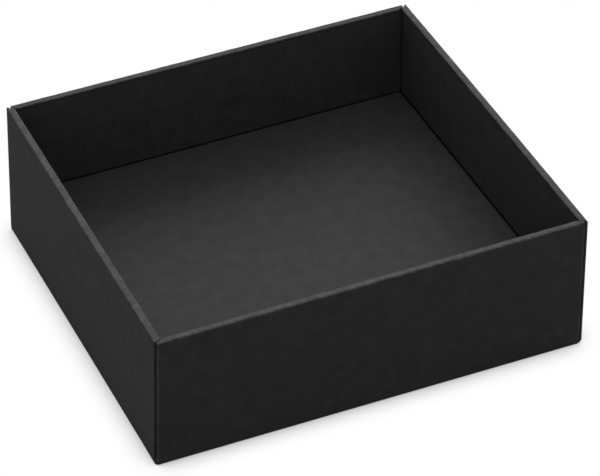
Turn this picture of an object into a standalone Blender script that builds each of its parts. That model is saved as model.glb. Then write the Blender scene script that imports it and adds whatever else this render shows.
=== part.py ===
# Black paper box: an open tray folded from corrugated board, with a raised floor dropped in.
#
# The tray is one die-cut blank. Its base carries four outer walls. Each wall rolls over a
# flat rim strip into an inner wall, and the side walls turn round the corners into tabs that
# are tucked between the front and back walls. The raised floor is a second, smaller blank,
# a plate on four folded legs.
#
# Metres, +Z up, front wall at -Y. The origin is the middle of the base's underside.
import bpy
import bmesh
from math import pi, sin, cos, sqrt
from mathutils import Matrix, Vector

# Overall size, outside
BOX_WIDTH = 0.310
BOX_DEPTH = 0.280
BOX_HEIGHT = 0.104

# Board and folds
BOARD = 0.0015
GAP = 0.0003
FOLD_INNER_RADIUS = 0.0005
FOLD_STEPS = 6

# Front and back walls: bare slit between a wall's edge and the side wall's corner fold
CORNER_SLIT = 0.0013

# Rims: the inner corners at the ends of the front and back strips are cut off aslant, and the
# side strips end along the same slant, this far behind it
RIM_END_CUT_LENGTH = 0.0048
RIM_END_CUT_DEPTH = 0.0021
RIM_END_GAP = 0.0004

# Side walls: the corner folds stop short of the base, so the blank can fold both ways
CORNER_FOLD_RELIEF = 0.0045

# Corner tabs
TAB_LENGTH = 0.046
TAB_FOOT_RISE = 0.009
TAB_CORNER_RADIUS = 0.006

# Inner walls
INNER_WALL_CORNER_RADIUS = 0.0012

# Raised floor
FLOOR_HEIGHT = 0.032
FLOOR_CLEARANCE = 0.0006
FLOOR_CORNER_RELIEF = 0.0006
LEG_END_INSET = 0.0012
LEG_CORNER_RADIUS = 0.002

# Worked out from the sizes above
FOLD_RADIUS = BOARD + FOLD_INNER_RADIUS
WALL_END_INSET = FOLD_RADIUS + CORNER_SLIT
WALL = 3 * BOARD + 2 * GAP
WALL_TOP = BOX_HEIGHT - FOLD_RADIUS - GAP
TAB_FACE = BOARD + GAP
INNER_FACE = WALL - BOARD
LEG_FOLD_INSET = BOARD + GAP / 2
CORNER_ARC_STEPS = 5

NEAR_BLACK_BOARD = (0.020, 0.020, 0.021, 1.0)
FLOOR_BOARD = (0.038, 0.038, 0.039, 1.0)
BOARD_ROUGHNESS = 0.72

SIDES = {
    # name: (turn about Z that takes the front wall there, half the way to it, half its length)
    "front": (0.0, BOX_DEPTH / 2, BOX_WIDTH / 2),
    "right": (pi / 2, BOX_WIDTH / 2, BOX_DEPTH / 2),
    "back": (pi, BOX_DEPTH / 2, BOX_WIDTH / 2),
    "left": (-pi / 2, BOX_WIDTH / 2, BOX_DEPTH / 2),
}


def clear_scene():
    for old in list(bpy.data.objects):
        bpy.data.objects.remove(old, do_unlink=True)


def board_material(name, colour, roughness):
    material = bpy.data.materials.new(name)
    material.use_nodes = True
    shader = material.node_tree.nodes["Principled BSDF"]
    shader.inputs["Base Color"].default_value = colour
    shader.inputs["Roughness"].default_value = roughness
    shader.inputs["Metallic"].default_value = 0.0
    return material


def finish(obj, collection, axis=None, colour=NEAR_BLACK_BOARD):
    """Put a new piece in the box's collection, on its fold, with a board of its own."""
    collection.objects.link(obj)
    obj.data.materials.append(board_material(obj.name + "_board", colour, BOARD_ROUGHNESS))
    hang(obj, axis)
    return obj


def hang(obj, axis):
    """Parent an object to an empty without moving it."""
    if axis:
        obj.parent = axis
        obj.matrix_parent_inverse = Matrix.Translation(-axis.location)


def fold_axis(collection, name, side, out, height, parent=None):
    """Empty on the middle of a fold's axis, for the pieces that turn about that fold."""
    axis = bpy.data.objects.new(name, None)
    axis.empty_display_size = WALL
    axis.location = Matrix.Rotation(SIDES[side][0], 3, "Z") @ Vector((0.0, -out, height))
    collection.objects.link(axis)
    hang(axis, parent)
    return axis


def rounded(corners):
    """Points of a closed outline, with an arc at each (x, y, radius) corner that has one."""
    points = []
    count = len(corners)
    for i, (x, y, radius) in enumerate(corners):
        here = Vector((x, y))
        if radius <= 0:
            points.append(here)
            continue
        to_last = (Vector(corners[i - 1][:2]) - here).normalized()
        to_next = (Vector(corners[(i + 1) % count][:2]) - here).normalized()
        half = to_last.angle(to_next) / 2
        centre = here + (to_last + to_next).normalized() * (radius / sin(half))
        first = here + to_last * (radius * cos(half) / sin(half)) - centre
        last = here + to_next * (radius * cos(half) / sin(half)) - centre
        turn = first.angle_signed(last)
        for step in range(CORNER_ARC_STEPS + 1):
            spun = first.copy()
            spun.rotate(Matrix.Rotation(-turn * step / CORNER_ARC_STEPS, 2))
            points.append(centre + spun)
    return points


def flat_board(name, corners):
    """A flat piece of board from an outline: a filled 2D curve, extruded to its thickness."""
    curve = bpy.data.curves.new(name, "CURVE")
    curve.dimensions = "2D"
    curve.fill_mode = "BOTH"
    curve.extrude = BOARD / 2
    points = rounded(corners)
    spline = curve.splines.new("POLY")
    spline.points.add(len(points) - 1)
    for point, place in zip(spline.points, points):
        point.co = (place.x, place.y, 0.0, 1.0)
    spline.use_cyclic_u = True
    return bpy.data.objects.new(name, curve)


def stand_at(obj, side, out, centre_height=0.0):
    """Stand a flat board upright, its middle layer `out` from the box's middle on a side."""
    turn = SIDES[side][0]
    upright = Matrix.Rotation(pi / 2, 4, "X")
    place = Matrix.Translation((0.0, -out, centre_height))
    obj.matrix_world = Matrix.Rotation(turn, 4, "Z") @ place @ upright
    return obj


def sheet(middle, along, up):
    """A one-sided sheet about its middle, from half its length and half its height."""
    work = bmesh.new()
    bmesh.ops.create_grid(work, x_segments=1, y_segments=1, size=1.0)
    outward = along.cross(up).normalized()
    turn = Matrix((along, up, outward)).transposed().to_4x4()
    bmesh.ops.transform(work, matrix=Matrix.Translation(middle) @ turn, verts=work.verts)
    return work


def upright_sheet(out, half, low, high):
    """A sheet that stands on a side of the box, its outer face `out` from the middle."""
    middle = Vector((0.0, -out, (low + high) / 2))
    return sheet(middle, Vector((half, 0.0, 0.0)), Vector((0.0, 0.0, (high - low) / 2)))


def level_sheet(half, near_y, far_y, height):
    """A sheet that lies flat at a height, its face upwards."""
    middle = Vector((0.0, (near_y + far_y) / 2, height))
    return sheet(middle, Vector((half, 0.0, 0.0)), Vector((0.0, (far_y - near_y) / 2, 0.0)))


def edges_where(work, test):
    """Boundary edges whose two ends both pass a test on their place."""
    return [edge for edge in work.edges
            if edge.is_boundary and all(test(vert.co) for vert in edge.verts)]


def fold_on(work, edges, centre, axis, angle=pi / 2):
    """Carry a sheet round a quarter bend from some of its edges."""
    bmesh.ops.spin(work, geom=edges, cent=centre, axis=axis, angle=angle,
                   steps=FOLD_STEPS, use_duplicate=False)


def near(value, target):
    return abs(value - target) < GAP / 10


def thick_board(name, work, side="front"):
    """Turn a sheet of outer faces into a board: Solidify adds its thickness inwards."""
    bmesh.ops.remove_doubles(work, verts=work.verts, dist=GAP / 100)
    mesh = bpy.data.meshes.new(name)
    work.to_mesh(mesh)
    work.free()
    obj = bpy.data.objects.new(name, mesh)
    solid = obj.modifiers.new("Board thickness", "SOLIDIFY")
    solid.thickness = BOARD
    solid.offset = -1.0
    solid.use_even_offset = True
    solid.use_quality_normals = True
    obj.matrix_world = Matrix.Rotation(SIDES[side][0], 4, "Z")
    return obj


def base_panel(collection):
    half_x = BOX_WIDTH / 2 - FOLD_RADIUS - GAP
    half_y = BOX_DEPTH / 2 - FOLD_RADIUS - GAP
    corner = FOLD_RADIUS
    obj = flat_board("base_panel", [(-half_x, -half_y, corner), (half_x, -half_y, corner),
                                    (half_x, half_y, corner), (-half_x, half_y, corner)])
    obj.location.z = BOARD / 2
    return finish(obj, collection)


def front_or_back_wall(collection, side):
    """Outer wall that stands on the base's edge, with its rounded bottom fold."""
    out = SIDES[side][1]
    half = SIDES[side][2] - WALL_END_INSET
    work = upright_sheet(out, half, FOLD_RADIUS, WALL_TOP)
    foot = edges_where(work, lambda co: near(co.z, FOLD_RADIUS))
    fold_on(work, foot, (0.0, -out + FOLD_RADIUS, FOLD_RADIUS), (1.0, 0.0, 0.0))
    return finish(thick_board(side + "_outer_wall", work, side), collection)


def side_wall(collection, side, axis):
    """Outer side wall: a bottom fold, and a corner fold at each end that leads to a tab."""
    out = SIDES[side][1]
    half = SIDES[side][2] - TAB_FACE - FOLD_RADIUS
    relief = CORNER_FOLD_RELIEF
    work = upright_sheet(out, half, relief, WALL_TOP)
    lower = edges_where(work, lambda co: near(co.z, relief))
    grown = bmesh.ops.extrude_edge_only(work, edges=lower)["geom"]
    for vert in [item for item in grown if isinstance(item, bmesh.types.BMVert)]:
        vert.co.z = FOLD_RADIUS
    foot = edges_where(work, lambda co: near(co.z, FOLD_RADIUS))
    fold_on(work, foot, (0.0, -out + FOLD_RADIUS, FOLD_RADIUS), (1.0, 0.0, 0.0))
    for end in (-1, 1):
        upright = edges_where(work, lambda co: near(co.x, end * half) and co.z > relief - GAP
                              and near(co.y, -out))
        fold_on(work, upright, (end * half, -out + FOLD_RADIUS, 0.0), (0.0, 0.0, end * 1.0))
    return finish(thick_board(side + "_outer_wall", work, side), collection, axis)


def corner_tab(collection, side, wall, axis):
    """Tab tucked into the front or back wall. It swings out in its own plane with its side
    wall, so its whole outline lies within the wall's height of that wall's bottom edge."""
    direction = -1 if (side == "left") == (wall == "front") else 1
    half = SIDES[wall][2]
    swing = WALL_TOP
    root = half - FOLD_RADIUS - GAP
    tip = half - FOLD_RADIUS - TAB_LENGTH
    root_top = sqrt(swing ** 2 - (half - root) ** 2)
    tip_top = sqrt(swing ** 2 - (half - tip) ** 2)
    foot = CORNER_FOLD_RELIEF
    corners = [(root, foot, 0.0), (root, root_top, 0.0),
               (tip, tip_top, TAB_CORNER_RADIUS), (tip, foot + TAB_FOOT_RISE, TAB_CORNER_RADIUS)]
    corners = [(direction * x, z, radius) for x, z, radius in corners]
    obj = flat_board(side + "_" + wall + "_tab", corners)
    stand_at(obj, wall, SIDES[wall][1] - TAB_FACE - BOARD / 2)
    return finish(obj, collection, axis)


def rim_end(side, end):
    """Where a rim strip's end is cut aslant: a point of the cut and the way out of the strip.
    Both are in the side's own frame, and all the cuts of a corner are parallel."""
    out, half = SIDES[side][1], SIDES[side][2]
    slope = RIM_END_CUT_DEPTH / RIM_END_CUT_LENGTH
    if side in ("front", "back"):
        start = (end * (half - WALL_END_INSET - RIM_END_CUT_LENGTH), -out + WALL, 0.0)
        return start, (end * slope, 1.0, 0.0)
    behind = WALL - RIM_END_CUT_DEPTH - slope * WALL_END_INSET + RIM_END_GAP
    return (end * (half - behind), -out, 0.0), (end * 1.0, slope, 0.0)


def rim(collection, side, axis):
    """Strip along the top of a wall, rounded down at its outer and its inner edge. The front
    and back strips end above their walls' ends, and the side strips run on beside them."""
    out, half = SIDES[side][1], SIDES[side][2]
    if side in ("front", "back"):
        half = half - WALL_END_INSET
    outer, inner = -out + FOLD_RADIUS, -out + WALL - FOLD_RADIUS
    work = level_sheet(half, outer, inner, BOX_HEIGHT)
    below = BOX_HEIGHT - FOLD_RADIUS
    edge = edges_where(work, lambda co: near(co.y, outer))
    fold_on(work, edge, (0.0, outer, below), (1.0, 0.0, 0.0))
    edge = edges_where(work, lambda co: near(co.y, inner) and near(co.z, BOX_HEIGHT))
    fold_on(work, edge, (0.0, inner, below), (-1.0, 0.0, 0.0))
    for end in (-1, 1):
        start, slant = rim_end(side, end)
        geometry = work.verts[:] + work.edges[:] + work.faces[:]
        bmesh.ops.bisect_plane(work, geom=geometry, plane_co=start, plane_no=slant,
                               clear_outer=True)
    return finish(thick_board(side + "_rim", work, side), collection, axis)


def inner_wall(collection, side, axis):
    """Inner wall, rolled down from the rim to just above the raised floor."""
    half = SIDES[side][2] - WALL - GAP
    foot, radius = FLOOR_HEIGHT + GAP, INNER_WALL_CORNER_RADIUS
    obj = flat_board(side + "_inner_wall", [(-half, foot, radius), (half, foot, radius),
                                            (half, WALL_TOP, 0.0), (-half, WALL_TOP, 0.0)])
    stand_at(obj, side, SIDES[side][1] - INNER_FACE - BOARD / 2)
    return finish(obj, collection, axis)


def floor_half(side):
    """Half the raised floor's reach towards a side."""
    return SIDES[side][1] - WALL - FLOOR_CLEARANCE


def raised_floor(collection, axis):
    """Plate of the raised floor, with a rounded fold along each edge that leads to a leg."""
    flat_x = floor_half("right") - FOLD_RADIUS
    flat_y = floor_half("front") - FOLD_RADIUS
    work = level_sheet(flat_x, -flat_y, flat_y, FLOOR_HEIGHT)
    bmesh.ops.bevel(work, geom=work.verts[:], offset=FLOOR_CORNER_RELIEF, segments=1,
                    affect="VERTICES")
    below = FLOOR_HEIGHT - FOLD_RADIUS
    for x, y in ((-1, 0), (1, 0), (0, -1), (0, 1)):
        edge = edges_where(work, lambda co: near(co.z, FLOOR_HEIGHT)
                           and (near(co.x, x * flat_x) if x else near(co.y, y * flat_y)))
        fold_on(work, edge, (x * flat_x, y * flat_y, below), (-y * 1.0, x * 1.0, 0.0))
    return finish(thick_board("raised_floor", work), collection, axis, FLOOR_BOARD)


def floor_leg(collection, side, axis):
    """Leg of the raised floor. Its ends are mitred, so that all four fold flat under it."""
    length_from = {"front": "right", "back": "right", "left": "front", "right": "front"}[side]
    half = floor_half(length_from) - LEG_END_INSET
    top = FLOOR_HEIGHT - FOLD_RADIUS - GAP
    foot = BOARD + GAP
    tall = top - foot
    radius = LEG_CORNER_RADIUS
    root = half - FOLD_RADIUS
    obj = flat_board("floor_leg_" + side, [(-root + tall, foot, radius),
                                           (root - tall, foot, radius),
                                           (root, top, 0.0), (-root, top, 0.0)])
    stand_at(obj, side, floor_half(side) - BOARD / 2)
    return finish(obj, collection, axis, FLOOR_BOARD)


def build_side(collection, side):
    """Outer wall, rim and inner wall of one side, each on the fold that it turns about."""
    out = SIDES[side][1]
    foot_axis = None
    if side in ("left", "right"):
        foot_axis = fold_axis(collection, side + "_foot_fold", side, out, 0.0)
        side_wall(collection, side, foot_axis)
        for wall in ("front", "back"):
            corner_tab(collection, side, wall, foot_axis)
    else:
        front_or_back_wall(collection, side)
    rim_axis = fold_axis(collection, side + "_rim_fold", side, out, BOX_HEIGHT, foot_axis)
    rim(collection, side, rim_axis)
    inner_axis = fold_axis(collection, side + "_inner_fold", side, out - WALL, BOX_HEIGHT,
                           rim_axis)
    inner_wall(collection, side, inner_axis)


def build_floor(collection):
    """Raised floor that lifts straight out, and its legs on the folds under its edges."""
    lift_axis = fold_axis(collection, "floor_lift", "front", 0.0, FLOOR_HEIGHT)
    raised_floor(collection, lift_axis)
    for side in SIDES:
        leg_axis = fold_axis(collection, side + "_leg_fold", side,
                             floor_half(side) - LEG_FOLD_INSET,
                             FLOOR_HEIGHT - LEG_FOLD_INSET, lift_axis)
        floor_leg(collection, side, leg_axis)


def build():
    clear_scene()
    collection = bpy.data.collections.new("Paper box")
    bpy.context.scene.collection.children.link(collection)
    base_panel(collection)
    for side in SIDES:
        build_side(collection, side)
    build_floor(collection)


build()
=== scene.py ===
"""Dress for the folded black paper box: liners, flutes, creases, rims painted pale by wear and by
painted highlight, and the studio round it.

Every board is two thin liners with a fluted sheet between them. A fold is a pressed, solid
strip of board between the panels on its two sides.
"""

from math import cos, pi, radians, sin

import bmesh
import bpy
import numpy as np
from mathutils import Matrix, Vector


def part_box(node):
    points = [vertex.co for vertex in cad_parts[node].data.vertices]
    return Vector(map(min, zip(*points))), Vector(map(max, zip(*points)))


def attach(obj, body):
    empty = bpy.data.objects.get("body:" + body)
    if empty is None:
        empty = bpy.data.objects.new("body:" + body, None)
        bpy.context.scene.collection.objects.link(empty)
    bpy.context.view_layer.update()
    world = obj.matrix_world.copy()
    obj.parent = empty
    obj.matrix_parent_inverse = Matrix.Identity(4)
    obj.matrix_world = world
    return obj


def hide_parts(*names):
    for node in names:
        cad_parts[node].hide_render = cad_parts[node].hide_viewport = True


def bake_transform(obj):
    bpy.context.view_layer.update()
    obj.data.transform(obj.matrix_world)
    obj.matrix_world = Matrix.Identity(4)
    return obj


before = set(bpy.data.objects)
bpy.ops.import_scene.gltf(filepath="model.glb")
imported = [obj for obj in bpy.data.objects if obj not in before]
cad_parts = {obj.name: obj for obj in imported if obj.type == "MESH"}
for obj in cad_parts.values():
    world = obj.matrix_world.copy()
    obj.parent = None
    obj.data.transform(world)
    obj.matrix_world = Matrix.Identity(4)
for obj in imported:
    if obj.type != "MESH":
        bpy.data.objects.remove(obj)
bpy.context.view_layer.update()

bl_info = {
    "name": "Folded Paper Box",
    "version": (1, 0, 0),
    "blender": (4, 5, 0),
    "location": "3D View > Sidebar > Paper Box",
    "description": "Models the liners, flutes and creases of a folded paper box",
    "category": "Object",
}

# Sizes read from the frame
HALF_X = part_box("right_outer_wall")[1].x
HALF_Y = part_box("back_rim")[1].y
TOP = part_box("front_rim")[1].z
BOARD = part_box("base_panel")[1].z
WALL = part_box("front_inner_wall")[1].y + HALF_Y
PANEL_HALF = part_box("front_outer_wall")[1].x
INNER_HALF_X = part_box("front_inner_wall")[1].x
INNER_HALF_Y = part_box("left_inner_wall")[1].y
INNER_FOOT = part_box("front_inner_wall")[0].z
FLOOR_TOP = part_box("raised_floor")[1].z
FLOOR_HALF_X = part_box("raised_floor")[1].x
FLOOR_HALF_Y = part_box("raised_floor")[1].y
LEG_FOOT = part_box("floor_leg_front")[0].z
LEG_HALF_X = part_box("floor_leg_front")[1].x
LEG_HALF_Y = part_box("floor_leg_left")[1].y
TAB_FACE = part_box("left_front_tab")[0].y + HALF_Y

MM = 0.001
MITRE = BOARD / 2
# Lengths closer than this count as equal, and points closer than the next are merged
SAME = 0.01 * MM
MERGE = 0.005 * MM

# side: (turn about Z that takes the front wall there, half the way to it, half its length)
SIDES = {
    "front": (0.0, HALF_Y, HALF_X),
    "right": (pi / 2, HALF_X, HALF_Y),
    "back": (pi, HALF_Y, HALF_X),
    "left": (-pi / 2, HALF_X, HALF_Y),
}
SIDE_WALLS = ("left", "right")

# From a corner to where the side wall's board and the tab's board start
CORNER_RUN = 6.0 * MM
# How far the side walls' folds stop short of the corners, at the foot and at the rim
SIDE_FOOT_INSET = 1.6 * MM
SIDE_RIM_INSET = 1.9 * MM
# Width of the painted highlight along the upright ends of the front and back walls, standing in for
# the light on a rounded edge
END_HIGHLIGHT_WIDTH = 1.1 * MM
# How far a fold's seam line and the part beside it overrun its radius
FOLD_MARGIN = 0.1 * MM

# How far short of the box's corners the ends of the front wall lie, as folded by hand
FRONT_ENDS = {-1: 1.1 * MM, 1: 2.7 * MM}


def wall_end(side, end):
    """Place along a front or back wall of its left (-1) or right (1) end."""
    if side == "front":
        return end * (HALF_X - FRONT_ENDS[end])
    return end * PANEL_HALF


def wall_reach(side):
    """Half length that covers both ends, and the planes that trim a piece back to each end."""
    half = max(abs(wall_end(side, end)) for end in (-1, 1))
    planes = [end_plane(end, abs(wall_end(side, end)))
              for end in (-1, 1) if abs(wall_end(side, end)) < half - SAME]
    return half, planes


def end_plane(end, distance):
    """The upright plane that ends a piece at a distance from the middle, left (-1) or right."""
    return Vector((end * distance, 0.0, 0.0)), Vector((end * 1.0, 0.0, 0.0))


def length_setting(name, description, default):
    return bpy.props.FloatProperty(name=name, description=description, default=default,
                                   unit="LENGTH")


def colour_setting(name, description, default):
    return bpy.props.FloatVectorProperty(name=name, description=description, default=default,
                                         subtype="COLOR", size=3)


class BoardSettings(bpy.types.PropertyGroup):
    """Make-up of the corrugated board."""
    liner: length_setting("Liner thickness", "Thickness of each paper liner", 0.28 * MM)
    flute_paper: length_setting("Flute paper thickness",
                                "Thickness of the fluted sheet", 0.16 * MM)
    flute_pitch: length_setting("Flute pitch", "Distance from one flute to the next", 3.2 * MM)
    grid: length_setting("Mesh spacing", "Distance between mesh rows on a flat liner", 6.0 * MM)


class FoldSettings(bpy.types.PropertyGroup):
    """Shape of the pressed folds."""
    radius: length_setting("Fold radius", "Outer radius of a rim fold", 0.7 * MM)
    foot_radius: length_setting("Foot fold radius",
                                "Outer radius of the folds along the table", 1.6 * MM)
    front_radius: length_setting("Front fold radius",
                                 "Outer radius of the front rim's outer fold", 1.5 * MM)
    floor_radius: length_setting("Floor fold radius",
                                 "Outer radius of the raised floor's folds", 1.2 * MM)
    reach: length_setting("Fold reach",
                          "How far a pressed fold runs up the wall beside it", 2.3 * MM)
    across: length_setting("Fold width on the rim",
                           "How far a pressed fold runs onto the rim", 1.2 * MM)
    steps: bpy.props.IntProperty(
        name="Fold steps", description="Faces round a fold", default=6, min=2)
    spacing: length_setting("Fold mesh spacing",
                            "Distance between mesh rows along a fold", 2.0 * MM)
    waviness: length_setting("Fold waviness", "How far a fold's edge wanders inwards", 0.14 * MM)


class PaperSettings(bpy.types.PropertyGroup):
    """Colours of the paper."""
    black: colour_setting("Black liner", "Colour of the black liner",
                          (0.0160, 0.0160, 0.0166))
    # Worn liner: the pale tone of real wear, also used for the painted highlight on the rims and
    # the walls' upright ends
    worn_and_highlight: colour_setting("Worn liner", "Colour of the liner where it is folded and rubbed",
                         (0.036, 0.036, 0.0364))
    # Painted fill light: the inner liner is the black liner's paper, painted lighter for the shaded
    # inner walls
    inner: colour_setting("Inner liner", "Colour of the liner inside the box",
                          (0.0208, 0.0208, 0.0214))
    floor: colour_setting("Floor liner", "Colour of the raised floor",
                          (0.0200, 0.0200, 0.0204))
    core: colour_setting("Fluted sheet", "Colour of the fluted sheet and the cut edges",
                         (0.021, 0.0200, 0.0193))


class StageSettings(bpy.types.PropertyGroup):
    """Camera and light."""
    camera_place: bpy.props.FloatVectorProperty(
        name="Camera place", description="Where the camera stands",
        default=(-0.68501, -1.53965, 1.36739), subtype="TRANSLATION", size=3)
    camera_target: bpy.props.FloatVectorProperty(
        name="Camera target", description="What the middle of the picture shows",
        default=(0.00415, -0.00927, 0.04459), subtype="TRANSLATION", size=3)
    camera_roll: bpy.props.FloatProperty(
        name="Camera roll", description="Turn of the camera about its own axis",
        default=radians(0.126), subtype="ANGLE")
    lens: bpy.props.FloatProperty(
        name="Lens", description="Focal length in millimetres", default=187.81)
    overhead: bpy.props.FloatProperty(
        name="Overhead light", description="Power of the soft light overhead", default=10.0)
    back_light: bpy.props.FloatProperty(
        name="Back light", description="Power of the soft light high behind the box",
        default=135.0)
    front_light: bpy.props.FloatProperty(
        name="Front light", description="Power of the soft light behind the camera",
        default=7.0)
    fill: bpy.props.FloatProperty(
        name="Fill", description="Brightness of the room's light", default=1.1)
    # Depth of the painted contact shadow on the sweep
    shadow: bpy.props.FloatProperty(
        name="Contact shadow", description="Depth of the shadow along the foot of the box",
        default=1.94)


# Selection and objects


def clear_selection():
    if bpy.context.mode != "OBJECT":
        bpy.ops.object.mode_set(mode="OBJECT")
    bpy.ops.object.select_all(action="DESELECT")


def only(obj):
    """Make one object the active and only selected one."""
    clear_selection()
    obj.select_set(True)
    bpy.context.view_layer.objects.active = obj
    return obj


def apply_modifiers(obj):
    only(obj)
    for modifier in list(obj.modifiers):
        bpy.ops.object.modifier_apply(modifier=modifier.name)
    return obj


def edit(obj):
    """Open an object for editing with nothing selected and return its edit mesh."""
    only(obj)
    bpy.ops.object.mode_set(mode="EDIT")
    bpy.ops.mesh.select_mode(type="VERT")
    bpy.ops.mesh.select_all(action="DESELECT")
    return bmesh.from_edit_mesh(obj.data)


def choose(obj, test):
    """Select the vertices that pass a test on their place."""
    work = bmesh.from_edit_mesh(obj.data)
    for vert in work.verts:
        vert.select = bool(test(vert.co))
    work.select_flush_mode()
    bmesh.update_edit_mesh(obj.data)


def add_grid(name, middle, along, up, along_steps, up_steps):
    """A flat grid about its middle, from two vectors that give its whole length and height."""
    clear_selection()
    normal = along.cross(up).normalized()
    turn = Matrix((along.normalized(), up.normalized(), normal)).transposed()
    bpy.ops.mesh.primitive_grid_add(
        x_subdivisions=along_steps, y_subdivisions=up_steps, size=1.0, location=middle,
        rotation=turn.to_euler())
    obj = bpy.context.object
    obj.name = name
    obj.scale = (along.length, up.length, 1.0)
    bpy.ops.object.transform_apply(location=True, rotation=True, scale=True)
    return obj


def join(first, *others):
    clear_selection()
    for other in others:
        other.select_set(True)
    first.select_set(True)
    bpy.context.view_layer.objects.active = first
    bpy.ops.object.join()
    return first


def cut_along(obj, planes, **options):
    """Cut along each plane, given as a point and a direction."""
    for place, direction in planes:
        edit(obj)
        bpy.ops.mesh.select_all(action="SELECT")
        bpy.ops.mesh.bisect(plane_co=place, plane_no=direction, **options)
        bpy.ops.object.mode_set(mode="OBJECT")


def trim(obj, planes):
    """Cut a sheet off beyond each plane."""
    cut_along(obj, planes, clear_outer=True)


def trim_solid(obj, planes):
    """Cut a closed piece off beyond each plane and close the cut."""
    cut_along(obj, planes, clear_outer=True, use_fill=True)


def places(mesh):
    """The places of a mesh's vertices, one row each."""
    place = np.empty(len(mesh.vertices) * 3, np.float32)
    mesh.vertices.foreach_get("co", place)
    return place.reshape(-1, 3)


def set_places(mesh, place):
    mesh.vertices.foreach_set("co", np.ascontiguousarray(place, np.float32).ravel())


# Attributes that the paper's materials read


def lay_out(obj, flutes_along_x):
    """Store where each point lies on the die-cut blank: along the flutes, and across them."""
    place = places(obj.data)
    run = place[:, 2] - place[:, 1]
    layout = np.zeros_like(place)
    layout[:, 0 if flutes_along_x else 1] = place[:, 0]
    layout[:, 1 if flutes_along_x else 0] = run
    attribute = obj.data.attributes.new("blank", "FLOAT_VECTOR", "POINT")
    attribute.data.foreach_set("vector", layout.ravel())


def mark_wear_and_highlight(obj, wear_and_highlight):
    """Store how pale each point is painted, for real wear and for painted highlight, from a
    function of its places in the front wall's frame.
    """
    amount = np.clip(wear_and_highlight(places(obj.data)), 0.0, 1.0).astype(np.float32)
    attribute = obj.data.attributes.new("wear_and_highlight", "FLOAT", "POINT")
    attribute.data.foreach_set("value", amount)


# How the real box departs from the ideal one

# Inward push of each corner in millimetres, along X and along Y
CORNER_PUSHES = {
    # (left or right, front or back, foot or rim)
    (0, 0, 0): (0.0, 3.0),
    (1, 0, 0): (0.0, 0.0),
    (0, 1, 0): (0.0, 3.0),
    (1, 1, 0): (0.0, 0.0),
    (0, 0, 1): (1.7, 0.0),
    (1, 0, 1): (1.8, 0.0),
    (0, 1, 1): (3.0, 2.4),
    (1, 1, 1): (0.75, 0.0),
}
# Inward bow of each wall's middle in millimetres, at its foot and at its rim
BOWS = {"left": (0.2, 0.0), "right": (0.0, -0.4), "front": (0.0, 0.0), "back": (0.0, 0.0)}


def settled(place):
    """Where points of the ideal box lie in the real one, with drawn-in corners and bowed walls."""
    share_x = np.clip(place[:, 0] / (2 * HALF_X) + 0.5, 0.0, 1.0)
    share_y = np.clip(place[:, 1] / (2 * HALF_Y) + 0.5, 0.0, 1.0)
    share_z = np.clip(place[:, 2] / TOP, 0.0, 1.0)
    moved = place.copy()
    for (east, north, high), (push_x, push_y) in CORNER_PUSHES.items():
        weight = ((share_x if east else 1 - share_x) * (share_y if north else 1 - share_y)
                  * (share_z if high else 1 - share_z))
        moved[:, 0] += weight * push_x * MM * (-1 if east else 1)
        moved[:, 1] += weight * push_y * MM * (-1 if north else 1)
    belly_x = 1 - (2 * share_y - 1) ** 2
    belly_y = 1 - (2 * share_x - 1) ** 2
    for side, axis, share, belly in (("left", 0, 1 - share_x, belly_x),
                                     ("right", 0, share_x, belly_x),
                                     ("front", 1, 1 - share_y, belly_y),
                                     ("back", 1, share_y, belly_y)):
        foot, rim = BOWS[side]
        inwards = 1 if side in ("left", "front") else -1
        bow = (foot * (1 - share_z) + rim * share_z) * MM
        moved[:, axis] += inwards * bow * share ** 4 * belly
    return moved


def unworn(place):
    return np.zeros(len(place))


def finish_piece(obj, side, material, flutes_along_x=True, wear_and_highlight=unworn):
    """Last steps for a piece made in the front wall's frame."""
    lay_out(obj, flutes_along_x)
    mark_wear_and_highlight(obj, wear_and_highlight)
    mesh = obj.data
    mesh.transform(Matrix.Rotation(SIDES[side][0], 4, "Z"))
    set_places(mesh, settled(places(mesh).astype(float)))
    mesh.update()
    only(obj)
    bpy.ops.object.shade_smooth_by_angle(angle=radians(32))
    mesh.materials.append(materials()[material])
    return obj


# Boards


def liner(name, middle, along, up):
    """The face of a paper liner, as a sheet with evenly spaced rows."""
    settings = bpy.context.scene.paper_box_board
    along_steps = max(2, round(along.length / settings.grid))
    up_steps = max(2, round(up.length / settings.grid))
    return add_grid(name, middle, along, up, along_steps, up_steps)


def thicken(obj, thickness, offset):
    solid = obj.modifiers.new("Paper", "SOLIDIFY")
    solid.thickness = thickness
    solid.offset = offset
    solid.use_even_offset = True
    return apply_modifiers(obj)


def flute_sheet(name, middle, along, up, normal, height, flutes_along):
    """Wavy sheet between two liners. Every other row of a grid is raised, and a subdivision
    surface rounds the folds. The rounding keeps a third of the height, so it starts at three."""
    settings = bpy.context.scene.paper_box_board
    wave = up if flutes_along else along
    straight = along if flutes_along else up
    half_flutes = max(4, 2 * round(wave.length / settings.flute_pitch))
    obj = add_grid(name, middle, straight, wave, 2, half_flutes)
    direction = wave.normalized()
    start = middle.dot(direction) - wave.length / 2
    spacing = wave.length / half_flutes
    edit(obj)
    choose(obj, lambda co: round((co.dot(direction) - start) / spacing) % 2 == 1)
    bpy.ops.transform.translate(value=normal * height * 1.5)
    choose(obj, lambda co: round((co.dot(direction) - start) / spacing) % 2 == 0)
    bpy.ops.transform.translate(value=normal * height * -1.5)
    bpy.ops.object.mode_set(mode="OBJECT")
    rounding = obj.modifiers.new("Flutes", "SUBSURF")
    rounding.levels = rounding.render_levels = 2
    rounding.boundary_smooth = "PRESERVE_CORNERS"
    return apply_modifiers(obj)


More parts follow.
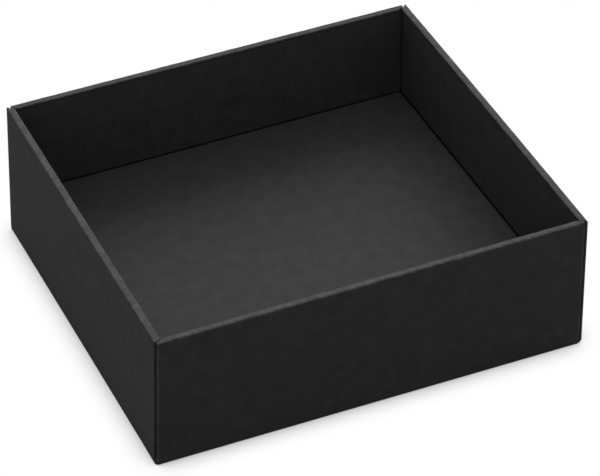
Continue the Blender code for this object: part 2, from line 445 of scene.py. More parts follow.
def board(name, side, body, nodes, centre, along, up, normal, mitre_low=0.0, mitre_high=0.0,
          cuts=(), scores=(), material="black_liner", wear_and_highlight=unworn,
          flutes_along_x=True):
    """A flat board. `centre` is the middle of its outer face, `along` and `up` give its whole
    length and height, and a mitred end stops short on the inner face by the board's thickness."""
    settings = bpy.context.scene.paper_box_board
    rise = up.normalized()
    paper, core = settings.liner, settings.flute_paper

    def span(depth):
        low = mitre_low * depth
        high = mitre_high * depth
        middle = centre + rise * ((low - high) / 2) - normal * depth
        return middle, rise * (up.length - low - high)

    inwards = -1.0 if along.cross(up).dot(normal) > 0 else 1.0
    middle, height = span(0.0)
    outer = liner(name, middle, along, height)
    trim(outer, cuts)
    cut_along(outer, scores)
    thicken(outer, paper, inwards)
    middle, height = span(BOARD)
    inner = liner(name + "_inner", middle, along, height)
    trim(inner, cuts)
    thicken(inner, paper, -inwards)
    middle, height = span(BOARD / 2)
    flutes = flute_sheet(name.replace("_board", "_flutes"), middle, along, height, normal,
                         BOARD - 2 * paper - core, flutes_along_x)
    trim(flutes, cuts)
    thicken(flutes, core, 0.0)
    piece = join(outer, inner)
    finish_piece(piece, side, material, flutes_along_x, wear_and_highlight)
    finish_piece(flutes, side, "fluted_core", flutes_along_x, wear_and_highlight)
    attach(piece, body)
    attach(flutes, body)
    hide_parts(*nodes)
    return piece


# Folds


def arc(centre, radius, first, last, steps):
    """Points of an arc in (depth, height), with angles in degrees."""
    return [(centre[0] + radius * cos(radians(first + (last - first) * i / steps)),
             centre[1] + radius * sin(radians(first + (last - first) * i / steps)))
            for i in range(steps + 1)]


INSIDE_RADIUS = 0.35 * MM


def fold_profile(radius, reach, across):
    """Section of a pressed quarter fold, with its outer corner at (0, 0), the wall's outer face
    running down from it and the rim's top face running inwards. Its two seams are mitred."""
    steps = bpy.context.scene.paper_box_fold.steps
    outer = [(0.0, -reach), (0.0, -(reach + radius) / 2)]
    outer += arc((radius, -radius), radius, 180, 90, steps)
    outer += [(across, 0.0)]
    inner = [(across + BOARD, -BOARD)]
    inner += arc((BOARD + INSIDE_RADIUS, -BOARD - INSIDE_RADIUS), INSIDE_RADIUS, 90, 180, 3)
    inner += [(BOARD, -(reach + 2 * BOARD) * 0.75), (BOARD, -reach - BOARD)]
    return outer + inner


def solid_strip(name, half, section, spacing):
    """A closed strip along X: one row of faces is extruded round the section and closed."""
    steps = max(2, round(2 * half / spacing))
    points = [Vector((0.0, y, z)) for y, z in section]
    first = points[1] - points[0]
    obj = add_grid(name, (points[0] + points[1]) / 2, Vector((2 * half, 0.0, 0.0)), first,
                   steps, 1)
    edit(obj)
    close = first.length * 0.01
    choose(obj, lambda co: (co - Vector((co.x, *points[1].yz))).length < close)
    for here, there in zip(points[1:], points[2:] + points[:1]):
        bpy.ops.mesh.extrude_region_move(
            TRANSFORM_OT_translate={"value": there - here})
    bpy.ops.mesh.select_all(action="SELECT")
    bpy.ops.mesh.remove_doubles(threshold=MERGE)
    for end in (-1, 1):
        choose(obj, lambda co: abs(co.x - end * half) < close)
        bpy.ops.mesh.edge_face_add()
    bpy.ops.mesh.select_all(action="SELECT")
    bpy.ops.mesh.normals_make_consistent(inside=False)
    bpy.ops.object.mode_set(mode="OBJECT")
    return obj


def wander(place, seed):
    """Slow, even wandering along a fold, from 0 to 1."""
    along = place[:, 0] / MM
    wave = (np.sin(along / 1.13 + seed) + np.sin(along / 1.71 + 2.3 * seed)
            + 1.2 * np.sin(along / 3.9 + 0.7 * seed) + 1.1 * np.sin(along / 7.3 + 1.9 * seed))
    return np.clip(0.5 + wave / 6.0, 0.0, 1.0)


def rumple(obj, corner, outwards, width, amount, seed):
    """Let the corner of a fold wander inwards, fading out towards its seams."""
    place = places(obj.data).astype(float)
    away = np.hypot(place[:, 1] - corner[0], place[:, 2] - corner[1])
    fade = np.clip(1.0 - away / width, 0.0, 1.0)
    shift = amount * fade * wander(place, seed)
    place[:, 1] -= outwards[0] * shift
    place[:, 2] -= outwards[1] * shift
    set_places(obj.data, place)


def step_up(value, low, high):
    """Smooth step from 0 at `low` to 1 at `high`."""
    share = np.clip((value - low) / (high - low), 0.0, 1.0)
    return share * share * (3 - 2 * share)


# Where the pale grey ends below a rim, how far that line wanders and how softly it ends, and
# the width of the paler line along a fold. The grey is partly real rub and partly painted highlight
RUB_DROP = 0.75 * MM
RUB_WANDER = 0.5 * MM
RUB_SOFT = 0.5 * MM
CREASE_WIDTH = 0.55 * MM
# How pale each rim's top is painted, and how much more along its two folds: partly real rub, partly
# painted highlight of the lit tops
RIM_WEAR_AND_HIGHLIGHT = {"left": 0.80, "front": 0.85, "right": 0.62, "back": 0.50}
CREASE_WEAR_AND_HIGHLIGHT = {"left": 0.22, "front": 0.0, "right": 0.30, "back": 0.12}


def rim_wear_and_highlight(side, seed):
    """Rims are painted grey on top, partly as real rub and partly as painted highlight. The grey
    ends in a wandering line just below each fold.
    """
    def wear_and_highlight(place):
        edge = TOP - RUB_DROP + RUB_WANDER * (wander(place, seed) - 0.5)
        blotch = 0.8 + 0.4 * wander(place, seed + 4.2)
        depth = place[:, 1] + SIDES[side][1]
        crease = np.exp(-(np.minimum(depth, WALL - depth) / CREASE_WIDTH) ** 2)
        level = RIM_WEAR_AND_HIGHLIGHT[side] + CREASE_WEAR_AND_HIGHLIGHT[side] * crease
        return level * blotch * step_up(place[:, 2], edge, edge + RUB_SOFT)
    return wear_and_highlight


def fold(name, side, half, corner, radius, reach, across, mirror_depth=1, mirror_height=1,
         bodies=(), cuts=(), wear_and_highlight=unworn, material="worn_and_highlight_liner",
         seed=1.0, waviness=None):
    """A pressed fold along one side of the box. `corner` is its outer corner as (depth from the
    outer wall, height), and the mirror signs turn the section over."""
    settings = bpy.context.scene.paper_box_fold
    out = SIDES[side][1]
    section = [(-out + corner[0] + mirror_depth * depth, corner[1] + mirror_height * height)
               for depth, height in fold_profile(radius, reach, across)]
    obj = solid_strip(name, half, section, settings.spacing)
    trim_solid(obj, cuts)
    diagonal = (-mirror_depth * 0.7071, mirror_height * 0.7071)
    amount = settings.waviness if waviness is None else waviness
    rumple(obj, (-out + corner[0], corner[1]), diagonal, reach, amount, seed)
    flutes_along_x = side not in SIDE_WALLS
    finish_piece(obj, side, material, flutes_along_x, wear_and_highlight)
    if len(bodies) == 2:
        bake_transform(obj)
    else:
        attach(obj, bodies[0])
    return obj


# Materials


def new_node(tree, kind, x, y, inputs=None, **values):
    """A shader node with its settings and the values of its unlinked inputs."""
    node = tree.nodes.new(kind)
    node.location = (x, y)
    for name, value in values.items():
        setattr(node, name, value)
    for name, value in (inputs or {}).items():
        node.inputs[name].default_value = value
    return node


def link(tree, source, target):
    tree.links.new(source, target)


def seen_directly(tree, x, y):
    """1 for the rays that show a surface to the camera, in a mirror or through glass, else 0."""
    path = new_node(tree, "ShaderNodeLightPath", x, y)
    either = new_node(tree, "ShaderNodeMath", x + 200, y, operation="MAXIMUM")
    both = new_node(tree, "ShaderNodeMath", x + 400, y, operation="MAXIMUM")
    link(tree, path.outputs["Is Camera Ray"], either.inputs[0])
    link(tree, path.outputs["Is Glossy Ray"], either.inputs[1])
    link(tree, either.outputs["Value"], both.inputs[0])
    link(tree, path.outputs["Is Transmission Ray"], both.inputs[1])
    return both.outputs["Value"]


# Height of the flutes' lines and of the fibres in the paper's surface
RIDGE_HEIGHT = 0.012 * MM
FIBRE_HEIGHT = 0.035 * MM


def paper(name, colour, worn_and_highlight, rough=0.74, cloud=0.16, washboard=0.5):
    """Matt liner paper: cloudy formation, fibres along the flutes, stray pale fibres, faint
    lines from the flutes below, and a paler tone where the stored wear and highlight amount says
    so: real wear, and painted highlight on the rims and the walls' upright ends."""
    material = bpy.data.materials.new(name)
    material.use_nodes = True
    tree = material.node_tree
    shader = tree.nodes["Principled BSDF"]
    shader.inputs["Specular IOR Level"].default_value = 0.045
    where = new_node(tree, "ShaderNodeTexCoord", -1600, 300)
    blank = new_node(tree, "ShaderNodeAttribute", -1600, 0, attribute_name="blank")
    wear_and_highlight = new_node(tree, "ShaderNodeAttribute", -1600, -300, attribute_name="wear_and_highlight")

    clouds = new_node(tree, "ShaderNodeTexNoise", -1350, 400,
                      {"Scale": 95.0, "Detail": 4.0, "Roughness": 0.62})
    link(tree, where.outputs["Object"], clouds.inputs["Vector"])
    stretch = new_node(tree, "ShaderNodeMapping", -1350, 100,
                       {"Scale": (420.0, 2600.0, 2600.0)})
    link(tree, where.outputs["Object"], stretch.inputs["Vector"])
    fibres = new_node(tree, "ShaderNodeTexNoise", -1100, 100,
                      {"Scale": 1.0, "Detail": 3.0, "Roughness": 0.7})
    link(tree, stretch.outputs["Vector"], fibres.inputs["Vector"])
    fleck = new_node(tree, "ShaderNodeTexNoise", -1100, -120, {"Scale": 780.0, "Detail": 2.0})
    link(tree, where.outputs["Object"], fleck.inputs["Vector"])
    fleck_ramp = new_node(tree, "ShaderNodeMapRange", -850, -120,
                          {"From Min": 0.66, "From Max": 0.80})
    link(tree, fleck.outputs["Fac"], fleck_ramp.inputs["Value"])

    tone = new_node(tree, "ShaderNodeMapRange", -850, 400,
                    {"From Min": 0.3, "From Max": 0.7,
                     "To Min": 1.0 - cloud, "To Max": 1.0 + cloud})
    link(tree, clouds.outputs["Fac"], tone.inputs["Value"])
    grain = new_node(tree, "ShaderNodeMapRange", -850, 150,
                     {"From Min": 0.25, "From Max": 0.75, "To Min": 0.86, "To Max": 1.14})
    link(tree, fibres.outputs["Fac"], grain.inputs["Value"])
    shade = new_node(tree, "ShaderNodeMath", -620, 300, operation="MULTIPLY")
    link(tree, tone.outputs["Result"], shade.inputs[0])
    link(tree, grain.outputs["Result"], shade.inputs[1])

    wear_and_highlight_share = new_node(tree, "ShaderNodeMath", -850, -350, operation="MULTIPLY")
    wear_and_highlight_patches = new_node(tree, "ShaderNodeMapRange", -1100, -450,
                         {"From Min": 0.34, "From Max": 0.66, "To Min": 0.45, "To Max": 1.35})
    patches = new_node(tree, "ShaderNodeTexNoise", -1350, -450,
                       {"Scale": 330.0, "Detail": 4.0, "Roughness": 0.6})
    link(tree, where.outputs["Object"], patches.inputs["Vector"])
    link(tree, patches.outputs["Fac"], wear_and_highlight_patches.inputs["Value"])
    link(tree, wear_and_highlight.outputs["Fac"], wear_and_highlight_share.inputs[0])
    link(tree, wear_and_highlight_patches.outputs["Result"], wear_and_highlight_share.inputs[1])

    base = new_node(tree, "ShaderNodeMix", -400, 100, data_type="RGBA", clamp_factor=True,
                    inputs={"A": (*colour, 1.0), "B": (*worn_and_highlight, 1.0)})
    link(tree, wear_and_highlight_share.outputs["Value"], base.inputs["Factor"])
    lit = new_node(tree, "ShaderNodeMix", -200, 150, data_type="RGBA", blend_type="MULTIPLY",
                   inputs={"Factor": 1.0})
    link(tree, base.outputs["Result"], lit.inputs["A"])
    link(tree, shade.outputs["Value"], lit.inputs["B"])
    pale_fibre = tuple(min(1.0, c * 1.7) for c in worn_and_highlight)
    flecked = new_node(tree, "ShaderNodeMix", 0, 150, data_type="RGBA",
                       inputs={"B": (*pale_fibre, 1.0)})
    fleck_share = new_node(tree, "ShaderNodeMath", -620, -120, {1: 0.35}, operation="MULTIPLY")
    link(tree, fleck_ramp.outputs["Result"], fleck_share.inputs[0])
    link(tree, fleck_share.outputs["Value"], flecked.inputs["Factor"])
    link(tree, lit.outputs["Result"], flecked.inputs["A"])
    link(tree, flecked.outputs["Result"], shader.inputs["Base Color"])

    roughness = new_node(tree, "ShaderNodeMapRange", -200, -150,
                         {"To Min": rough - 0.08, "To Max": rough + 0.10})
    link(tree, fibres.outputs["Fac"], roughness.inputs["Value"])
    link(tree, roughness.outputs["Result"], shader.inputs["Roughness"])

    lines = new_node(tree, "ShaderNodeSeparateXYZ", -1350, -600)
    link(tree, blank.outputs["Vector"], lines.inputs["Vector"])
    pitch = bpy.context.scene.paper_box_board.flute_pitch
    phase = new_node(tree, "ShaderNodeMath", -1100, -600, {1: 2 * pi / pitch},
                     operation="MULTIPLY")
    link(tree, lines.outputs["Y"], phase.inputs[0])
    ridge = new_node(tree, "ShaderNodeMath", -850, -600, operation="SINE")
    link(tree, phase.outputs["Value"], ridge.inputs[0])
    ridge_bump = new_node(tree, "ShaderNodeBump", -400, -500,
                          {"Strength": washboard, "Distance": RIDGE_HEIGHT})
    link(tree, ridge.outputs["Value"], ridge_bump.inputs["Height"])
    grain_bump = new_node(tree, "ShaderNodeBump", -200, -400,
                          {"Strength": 0.55, "Distance": FIBRE_HEIGHT})
    link(tree, fibres.outputs["Fac"], grain_bump.inputs["Height"])
    link(tree, ridge_bump.outputs["Normal"], grain_bump.inputs["Normal"])
    link(tree, grain_bump.outputs["Normal"], shader.inputs["Normal"])
    return material


_made = {}


def materials():
    """The box's papers, made once."""
    if not _made:
        colours = bpy.context.scene.paper_box_paper
        black, worn_and_highlight = tuple(colours.black), tuple(colours.worn_and_highlight)
        _made["black_liner"] = paper("black_liner", black, worn_and_highlight)
        # The rims' paper: its pale top is partly real rub and partly painted highlight
        _made["worn_and_highlight_liner"] = paper("worn_and_highlight_liner", black, worn_and_highlight, rough=0.70, cloud=0.2)
        _made["inner_liner_painted_light"] = paper("inner_liner_painted_light", tuple(colours.inner), worn_and_highlight)
        _made["floor_liner"] = paper("floor_liner", tuple(colours.floor), worn_and_highlight)
        _made["fluted_core"] = paper("fluted_core", tuple(colours.core), worn_and_highlight, rough=0.85,
                                     washboard=0.0)
    return _made


# Operators

# Height of the rub along the foot folds
FOOT_RUB = 1.2 * MM


class PAPERBOX_OT_base(bpy.types.Operator):
    """Base panel with its four foot folds."""
    bl_idname = "paperbox.base"
    bl_label = "Base and foot folds"

    def execute(self, context):
        fold_set = context.scene.paper_box_fold
        reach, across = fold_set.reach, fold_set.foot_radius + FOLD_MARGIN
        along = Vector((2 * (HALF_X - across), 0.0, 0.0))
        up = Vector((0.0, -2 * (HALF_Y - across), 0.0))
        ends = [end_plane(end, HALF_X - across - MITRE) for end in (-1, 1)]
        board("base_panel_board", "front", "tray", ["base_panel"], Vector(), along, up,
              Vector((0.0, 0.0, -1.0)), mitre_low=1.0, mitre_high=1.0, cuts=ends)

        def foot_wear(place):
            return 0.35 * (1 - step_up(place[:, 2], 0.0, FOOT_RUB))
        for seed, side in enumerate(SIDES):
            if side in SIDE_WALLS:
                half, planes = SIDES[side][2] - SIDE_FOOT_INSET, []
                bodies = (side + "_side", "tray")
            else:
                half, planes = wall_reach(side)
                bodies = ("tray",)
            radius = fold_set.radius if side == "left" else fold_set.foot_radius
            fold(side + "_foot_fold", side, half, (0.0, 0.0), radius, reach, across,
                 mirror_height=-1, bodies=bodies, cuts=planes, wear_and_highlight=foot_wear,
                 material="black_liner", seed=3.1 + seed, waviness=FOLD_MARGIN)
        return {"FINISHED"}


class PAPERBOX_OT_outer_walls(bpy.types.Operator):
    """Outer walls, from the foot folds to the rims."""
    bl_idname = "paperbox.outer_walls"
    bl_label = "Outer walls"

    def execute(self, context):
        reach = context.scene.paper_box_fold.reach
        for side, (_, out, half) in SIDES.items():
            sideways = side in SIDE_WALLS
            length, planes = (half - CORNER_RUN, []) if sideways else wall_reach(side)
            body = side + "_side" if sideways else "tray"
            scores = [] if sideways else [
                end_plane(end, abs(wall_end(side, end)) - END_HIGHLIGHT_WIDTH) for end in (-1, 1)]

            # Painted highlight: the upright ends of the front and back walls are painted pale, for
            # the light on their edges
            def end_highlight(place):
                left, right = wall_end(side, -1), wall_end(side, 1)
                return np.maximum(1 - step_up(place[:, 0], left, left + END_HIGHLIGHT_WIDTH),
                                  step_up(place[:, 0], right - END_HIGHLIGHT_WIDTH, right))
            board(side + "_outer_wall_board", side, body, [side + "_outer_wall"],
                  Vector((0.0, -out, TOP / 2)), Vector((2 * length, 0.0, 0.0)),
                  Vector((0.0, 0.0, TOP - 2 * reach)), Vector((0.0, -1.0, 0.0)), mitre_low=1.0,
                  mitre_high=1.0, cuts=planes, scores=scores,
                  wear_and_highlight=unworn if sideways else end_highlight, flutes_along_x=not sideways)
        return {"FINISHED"}


# Plans of a corner in millimetres, as (distance from the side wall's face, distance from the
# front or back wall's), without the arc of the bend between the first two lists
CORNER_BEND, CORNER_BEND_DEPTH = 0.8, 1.4
BEND_ANGLES = (180, 262)
CORNER_START = ((0.0, 6.0), (0.0, 4.0))
CORNER_LIP = ((1.35, 0.72), (1.7, 1.25))
CORNER_TUCK = ((1.95, 2.0), (2.6, 2.35), (3.3, 2.2), (4.2, 1.95), (6.0, 1.8), (6.0, 3.3),
               (4.2, 3.35), (3.0, 3.5), (1.9, 3.4), (1.5, 3.8), (1.5, 4.4), (1.5, 6.0))
EAR_DEPTH = 1.78
# The near corner is folded further back, which leaves a deeper groove
NEAR_BEND, NEAR_BEND_DEPTH = 0.7, 3.9
NEAR_START = ((0.0, 6.0), (0.0, 5.2))
NEAR_TUCK = ((1.05, 3.2), (1.2, 3.7), (2.5, 3.6), (3.3, 2.4), (4.2, 1.9), (6.0, 1.8), (6.0, 3.3),
             (4.4, 3.4), (3.6, 3.8), (2.8, 4.5), (1.8, 5.0), (1.5, 6.0))
SLIT = 0.05 * MM
EAR_DROP = 0.35 * MM
CORNER_SPACING = 4.0 * MM
# How far from the corner's edge the rub starts to fade, and where it ends
CORNER_RUB = (1.2 * MM, 2.2 * MM)
# Slant of a tab's long edges over its length, and the cut of its tip's corners
TAB_TAPER = 9.0 * MM
TAB_TIP_CUT = 5.0 * MM


def in_mm(points):
    return [(first * MM, second * MM) for first, second in points]


class PAPERBOX_OT_corners(bpy.types.Operator):
    """Corner folds that lead the side walls to their tabs, and the tucked tabs."""
    bl_idname = "paperbox.corners"
    bl_label = "Corner folds and tabs"

    def execute(self, context):
        fold_set = context.scene.paper_box_fold
        foot, top = fold_set.reach + SLIT, TOP - fold_set.reach

        def bent(radius, depth):
            return arc((radius * MM, depth * MM), radius * MM, *BEND_ANGLES, fold_set.steps)
        strip = bent(CORNER_BEND, CORNER_BEND_DEPTH) + in_mm(CORNER_LIP)
        usual = in_mm(CORNER_START) + strip + in_mm(CORNER_TUCK)
        ear = [(0.0, EAR_DEPTH * MM)] + strip + [(CORNER_LIP[1][0] * MM, EAR_DEPTH * MM)]
        near = in_mm(NEAR_START) + bent(NEAR_BEND, NEAR_BEND_DEPTH) + in_mm(NEAR_TUCK)
        for side in SIDE_WALLS:
            for wall in ("front", "back"):
                east = 1 if side == "right" else -1
                north = 1 if wall == "back" else -1
                if (side, wall) == ("left", "front"):
                    obj = self.column(near, east, north, foot, top)
                else:
                    obj = self.column(usual, east, north, foot, top)
                    join(obj, self.column(ear, east, north, top, TOP - EAR_DROP))
                obj.name = side + "_" + wall + "_corner_fold"
                corner = Vector((east * HALF_X, north * HALF_Y))

                def corner_wear(place):
                    away = np.hypot(place[:, 0] - corner.x, place[:, 1] - corner.y)
                    return 0.55 * (1 - step_up(away, *CORNER_RUB))
                finish_piece(obj, "front", "black_liner", False, corner_wear)
                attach(obj, side + "_side")
                self.tab(side, wall, east, north)
        return {"FINISHED"}

    def column(self, plan, east, north, low, high):
        """A strip with the corner's plan as its section, stood on end."""
        section = [(east * (HALF_X - e), north * (HALF_Y - d)) for e, d in plan]
        obj = solid_strip("corner", (high - low) / 2, section, CORNER_SPACING)
        place = places(obj.data)[:, [1, 2, 0]]
        place[:, 2] += (high + low) / 2
        set_places(obj.data, place)
        return obj

    def tab(self, side, wall, east, north):
        """A tab in the front wall's frame, turned half round for the back wall."""
        name = side + "_" + wall + "_tab"
        low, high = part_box(name)
        root = HALF_X - CORNER_RUN
        tip = min(abs(low.x), abs(high.x))
        direction = east if wall == "front" else -east
        centre = Vector((direction * (root + tip) / 2, -HALF_Y + TAB_FACE, (low.z + high.z) / 2))
        slope = TAB_TAPER / (root - tip)
        shoulder = direction * (tip + TAB_TIP_CUT)
        planes = [
            (Vector((direction * root, 0.0, low.z)), Vector((-direction * slope, 0.0, -1.0))),
            (Vector((direction * root, 0.0, high.z)), Vector((-direction * slope, 0.0, 1.0))),
            (Vector((shoulder, 0.0, low.z + TAB_TAPER)), Vector((-direction, 0.0, -1.0))),
            (Vector((shoulder, 0.0, high.z - TAB_TAPER)), Vector((-direction, 0.0, 1.0))),
        ]
        board(name + "_board", wall, side + "_side", [name], centre,
              Vector((root - tip, 0.0, 0.0)), Vector((0.0, 0.0, high.z - low.z)),
              Vector((0.0, -1.0, 0.0)), cuts=planes, flutes_along_x=False)


# Slanted cut of a front or back rim's inner corner, along the rim and across it
RIM_CUT = (4.8 * MM, 2.1 * MM)
RIM_END_GAP = 0.4 * MM
# At the near corner: where the side rim ends behind the front, and the slope of its cut
NEAR_CORNER = ("left", 1)
NEAR_CORNER_END = (2.9 * MM, 0.3)
# How far the rim strip's underside is drawn to a line between its two folds
STRIP_RIDGE = 0.02 * MM


def rim_end(side, end):
    """Where a rim's end is cut aslant: a point of the cut and the way out of the rim. The cuts
    of a corner are parallel, and a side rim runs on beside the front or back rim's end. At the
    near corner the side rim ends a little sooner, which leaves a notch."""
    out, half = SIDES[side][1], SIDES[side][2]
    slope = RIM_CUT[1] / RIM_CUT[0]
    if side not in SIDE_WALLS:
        return Vector((end * (PANEL_HALF - RIM_CUT[0]), -out + WALL, 0.0)), Vector(
            (end * slope, 1.0, 0.0))
    behind = WALL - RIM_CUT[1] - slope * (HALF_X - PANEL_HALF) + RIM_END_GAP
    if (side, end) == NEAR_CORNER:
        behind, slope = NEAR_CORNER_END
    return Vector((end * (half - behind), -out, 0.0)), Vector((end * 1.0, slope, 0.0))


class PAPERBOX_OT_rims(bpy.types.Operator):
    """Rims and the folds on both their edges."""
    bl_idname = "paperbox.rims"
    bl_label = "Rims and their folds"

    def execute(self, context):
        fold_set = context.scene.paper_box_fold
        reach, across, radius = fold_set.reach, fold_set.across, fold_set.radius
        for seed, (side, (_, out, half)) in enumerate(SIDES.items()):
            sideways = side in SIDE_WALLS
            planes = [rim_end(side, end) for end in (-1, 1)]
            length = half - SIDE_RIM_INSET
            if not sideways:
                length, trims = wall_reach(side)
                planes += trims
            rim_body = side + "_rim_strip"
            wall_body = side + "_side" if sideways else "tray"
            # Rims painted pale on top: partly real rub, partly painted highlight of the lit tops
            wear_and_highlight = rim_wear_and_highlight(side, seed + 1.0)
            outer_radius = fold_set.front_radius if side == "front" else radius
            outer_across = max(across, outer_radius + FOLD_MARGIN)
            fold(side + "_rim_outer_fold", side, length, (0.0, TOP), outer_radius, reach,
                 outer_across, bodies=(wall_body, rim_body), cuts=planes, wear_and_highlight=wear_and_highlight,
                 seed=seed + 1.0)
            middle = -out + (WALL + outer_across - across) / 2
            section = [(-out + outer_across, TOP), (-out + WALL - across, TOP),
                       (middle + STRIP_RIDGE, TOP - BOARD), (middle - STRIP_RIDGE, TOP - BOARD)]
            strip = solid_strip(side + "_rim_strip", length, section, fold_set.spacing)
            trim_solid(strip, planes)
            finish_piece(strip, side, "worn_and_highlight_liner", not sideways, wear_and_highlight)
            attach(strip, rim_body)
            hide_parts(side + "_rim")
            inner_length = length if sideways else INNER_HALF_X
            fold(side + "_rim_inner_fold", side, inner_length, (WALL, TOP), radius, reach, across,
                 mirror_depth=-1, bodies=(side + "_inner", rim_body), cuts=planes,
                 wear_and_highlight=rim_wear_and_highlight(side, seed + 6.0), seed=seed + 6.0)
        return {"FINISHED"}


# How far the inner walls stop short of the solids' ends, and the snip off their lower corners
SIDE_INNER_INSET = 0.5 * MM
FRONT_INNER_INSET = 0.1 * MM
INNER_SNIP = 1.2 * MM


class PAPERBOX_OT_inner_walls(bpy.types.Operator):
    """Inner walls, from the rims down to the raised floor."""
    bl_idname = "paperbox.inner_walls"
    bl_label = "Inner walls"

    def execute(self, context):
        reach = context.scene.paper_box_fold.reach
        for side, (_, out, _) in SIDES.items():
            sideways = side in SIDE_WALLS
            length = (INNER_HALF_Y - SIDE_INNER_INSET if sideways
                      else INNER_HALF_X - FRONT_INNER_INSET)
            top = TOP - reach
            snips = [(Vector((end * (length - INNER_SNIP), 0.0, INNER_FOOT)),
                      Vector((end * 1.0, 0.0, -1.0))) for end in (-1, 1)]
            # The inner walls' paper is painted lighter, as painted fill light
            board(side + "_inner_wall_board", side, side + "_inner", [side + "_inner_wall"],
                  Vector((0.0, -out + WALL, (INNER_FOOT + top) / 2)),
                  Vector((2 * length, 0.0, 0.0)), Vector((0.0, 0.0, top - INNER_FOOT)),
                  Vector((0.0, 1.0, 0.0)), mitre_high=1.0, cuts=snips,
                  material="inner_liner_painted_light", flutes_along_x=not sideways)
        return {"FINISHED"}


# Extra width of the raised floor's folds, and how far they stop short of its corners
FLOOR_FOLD_EXTRA = 0.4 * MM
FLOOR_FOLD_INSET = 2.4 * MM


class PAPERBOX_OT_raised_floor(bpy.types.Operator):
    """Raised floor, its folds and its legs."""
    bl_idname = "paperbox.raised_floor"
    bl_label = "Raised floor and legs"

    def execute(self, context):
        fold_set = context.scene.paper_box_fold
        reach, across, radius = fold_set.reach, fold_set.across, fold_set.floor_radius
        across = across + FLOOR_FOLD_EXTRA
        ends = [end_plane(end, FLOOR_HALF_X - across - MITRE) for end in (-1, 1)]
        board("raised_floor_board", "front", "floor_insert", ["raised_floor"],
              Vector((0.0, 0.0, FLOOR_TOP)), Vector((2 * (FLOOR_HALF_X - across), 0.0, 0.0)),
              Vector((0.0, 2 * (FLOOR_HALF_Y - across), 0.0)), Vector((0.0, 0.0, 1.0)),
              mitre_low=1.0, mitre_high=1.0, material="floor_liner",
              cuts=ends)
        for seed, (side, (_, out, _)) in enumerate(SIDES.items()):
            sideways = side in SIDE_WALLS
            edge = FLOOR_HALF_X if sideways else FLOOR_HALF_Y
            length = (FLOOR_HALF_Y if sideways else FLOOR_HALF_X) - FLOOR_FOLD_INSET
            leg = side + "_leg"
            fold(side + "_floor_fold", side, length, (out - edge, FLOOR_TOP), radius, reach,
                 across, bodies=(leg, "floor_insert"), material="floor_liner",
                 seed=seed + 11.0, waviness=FOLD_MARGIN)
            top = FLOOR_TOP - reach
            leg_half = LEG_HALF_Y if sideways else LEG_HALF_X
            tall = top - LEG_FOOT
            mitres = [(Vector((end * leg_half, 0.0, top)), Vector((end * 1.0, 0.0, -1.0)))
                      for end in (-1, 1)]
            board(side + "_leg_board", side, leg, ["floor_leg_" + side],
                  Vector((0.0, -edge, (top + LEG_FOOT) / 2)), Vector((2 * leg_half, 0.0, 0.0)),
                  Vector((0.0, 0.0, tall)), Vector((0.0, -1.0, 0.0)), mitre_high=1.0,
                  cuts=mitres, material="floor_liner",
                  flutes_along_x=not sideways)
        return {"FINISHED"}


def sweep_material():
    """White sweep: it shows white to the camera, with a painted contact shadow where ambient
    occlusion finds the box near.
    """
    material = bpy.data.materials.new("white_sweep")
    material.use_nodes = True
    tree = material.node_tree
    tree.nodes.clear()
    output = new_node(tree, "ShaderNodeOutputMaterial", 600, 0)
    plain = new_node(tree, "ShaderNodeBsdfDiffuse", 0, -100, {"Color": SWEEP_GREY})
    # Painted contact shadow: ambient occlusion near the box darkens the glow that the camera sees
    near = new_node(tree, "ShaderNodeAmbientOcclusion", -1000, 200, {"Distance": SHADOW_REACH},
                    samples=16)
    hidden = new_node(tree, "ShaderNodeMath", -800, 200, {0: 1.0}, operation="SUBTRACT")
    link(tree, near.outputs["AO"], hidden.inputs[1])
    steep = new_node(tree, "ShaderNodeMath", -600, 200, {1: SHADOW_FADE}, operation="POWER")
    link(tree, hidden.outputs["Value"], steep.inputs[0])
    shadow = bpy.context.scene.paper_box_stage.shadow
    depth = new_node(tree, "ShaderNodeMath", -400, 200, {1: shadow}, operation="MULTIPLY")
    link(tree, steep.outputs["Value"], depth.inputs[0])
    level = new_node(tree, "ShaderNodeMath", -200, 200, {0: 1.0}, operation="SUBTRACT",
                     use_clamp=True)
    link(tree, depth.outputs["Value"], level.inputs[1])
    seen = new_node(tree, "ShaderNodeEmission", 0, 100)
    link(tree, level.outputs["Value"], seen.inputs["Strength"])
    mix = new_node(tree, "ShaderNodeMixShader", 400, 0)
    link(tree, seen_directly(tree, -400, 500), mix.inputs["Fac"])
    link(tree, plain.outputs["BSDF"], mix.inputs[1])
    link(tree, seen.outputs["Emission"], mix.inputs[2])
    link(tree, mix.outputs["Shader"], output.inputs["Surface"])
    return material


SWEEP_SIZE = 14.0
SWEEP_DROP = 0.02 * MM
SWEEP_GREY = (0.55, 0.55, 0.55, 1.0)
# How far the painted contact shadow reaches, and how fast it fades
SHADOW_REACH = 0.022
SHADOW_FADE = 2.2
SENSOR_WIDTH = 36.0
CLIP_END = 50.0
LIGHT_TARGET = Vector((0.0, 0.0, 0.05))
# Soft lights, as (place, width, height)
LIGHTS = {
    "overhead": ((-0.15, 0.1, 1.9), 1.5, 1.5),
    "back_panel": ((0.9, 2.0, 1.7), 2.4, 1.7),
    "front_panel": ((-1.3, -2.2, 2.3), 1.8, 1.2),
}


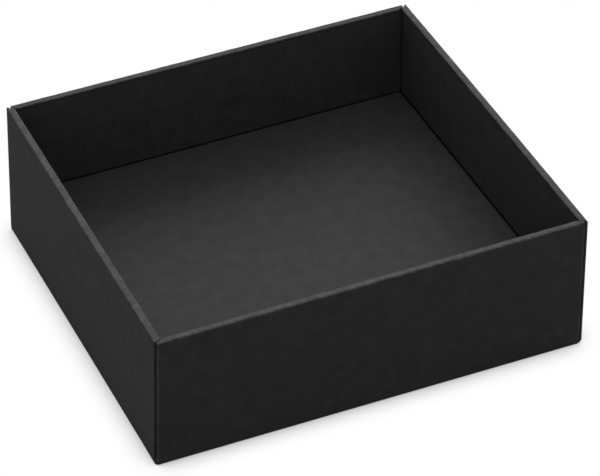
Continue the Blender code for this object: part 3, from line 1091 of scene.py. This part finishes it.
class PAPERBOX_OT_stage(bpy.types.Operator):
    """White floor, soft lights and the camera."""
    bl_idname = "paperbox.stage"
    bl_label = "Stage, lights and camera"

    def execute(self, context):
        settings = context.scene.paper_box_stage
        clear_selection()
        bpy.ops.mesh.primitive_plane_add(size=SWEEP_SIZE, location=(0.0, 0.0, -SWEEP_DROP))
        sweep = context.object
        sweep.name = "sweep"
        sweep.data.materials.append(sweep_material())
        self.light("overhead", settings.overhead)
        self.light("back_panel", settings.back_light)
        self.light("front_panel", settings.front_light)
        self.room(settings.fill)
        self.camera(settings)
        context.scene.view_settings.view_transform = "Standard"
        return {"FINISHED"}

    def light(self, name, power):
        place, width, height = LIGHTS[name]
        data = bpy.data.lights.new(name, "AREA")
        data.shape = "RECTANGLE"
        data.size = width
        data.size_y = height
        data.energy = power
        lamp = bpy.data.objects.new(name, data)
        bpy.context.scene.collection.objects.link(lamp)
        lamp.location = place
        lamp.rotation_euler = (LIGHT_TARGET - Vector(place)).to_track_quat("-Z", "Y").to_euler()

    def room(self, fill):
        """Even light from all round, which shows as plain white."""
        world = bpy.data.worlds.new("studio")
        bpy.context.scene.world = world
        world.use_nodes = True
        tree = world.node_tree
        tree.nodes.clear()
        output = new_node(tree, "ShaderNodeOutputWorld", 400, 0)
        soft = new_node(tree, "ShaderNodeBackground", 0, -100, {"Strength": fill})
        white = new_node(tree, "ShaderNodeBackground", 0, 100, {"Color": (1.0, 1.0, 1.0, 1.0)})
        mix = new_node(tree, "ShaderNodeMixShader", 200, 0)
        link(tree, seen_directly(tree, -400, 300), mix.inputs["Fac"])
        link(tree, soft.outputs["Background"], mix.inputs[1])
        link(tree, white.outputs["Background"], mix.inputs[2])
        link(tree, mix.outputs["Shader"], output.inputs["Surface"])

    def camera(self, settings):
        data = bpy.data.cameras.new("photo_camera")
        data.lens = settings.lens
        data.sensor_width = SENSOR_WIDTH
        data.clip_end = CLIP_END
        eye = bpy.data.objects.new("photo_camera", data)
        bpy.context.scene.collection.objects.link(eye)
        place, target = Vector(settings.camera_place), Vector(settings.camera_target)
        aim = (target - place).to_track_quat("-Z", "Y").to_matrix().to_4x4()
        eye.matrix_world = (Matrix.Translation(place) @ aim
                            @ Matrix.Rotation(settings.camera_roll, 4, "Z"))
        bpy.context.scene.camera = eye


PIECES = (PAPERBOX_OT_base, PAPERBOX_OT_outer_walls, PAPERBOX_OT_corners, PAPERBOX_OT_rims,
          PAPERBOX_OT_inner_walls, PAPERBOX_OT_raised_floor, PAPERBOX_OT_stage)


class PAPERBOX_PT_panel(bpy.types.Panel):
    """Lists the box's pieces and its settings."""
    bl_idname = "PAPERBOX_PT_panel"
    bl_label = "Paper Box"
    bl_space_type = "VIEW_3D"
    bl_region_type = "UI"
    bl_category = "Paper Box"

    def draw(self, context):
        for group, properties in SETTINGS.items():
            column = self.layout.column(align=True)
            for name in properties.__annotations__:
                column.prop(getattr(context.scene, group), name)
        for operator in PIECES:
            self.layout.operator(operator.bl_idname)


SETTINGS = {
    "paper_box_board": BoardSettings,
    "paper_box_fold": FoldSettings,
    "paper_box_paper": PaperSettings,
    "paper_box_stage": StageSettings,
}


def register():
    for name, group in SETTINGS.items():
        bpy.utils.register_class(group)
        setattr(bpy.types.Scene, name, bpy.props.PointerProperty(type=group))
    for item in (*PIECES, PAPERBOX_PT_panel):
        bpy.utils.register_class(item)


def unregister():
    for item in (PAPERBOX_PT_panel, *reversed(PIECES)):
        bpy.utils.unregister_class(item)
    for name, group in SETTINGS.items():
        delattr(bpy.types.Scene, name)
        bpy.utils.unregister_class(group)


def main():
    register()
    for operator in PIECES:
        module, name = operator.bl_idname.split(".")
        getattr(getattr(bpy.ops, module), name)()
    bpy.context.view_layer.update()


if __name__ == "__main__":
    main()
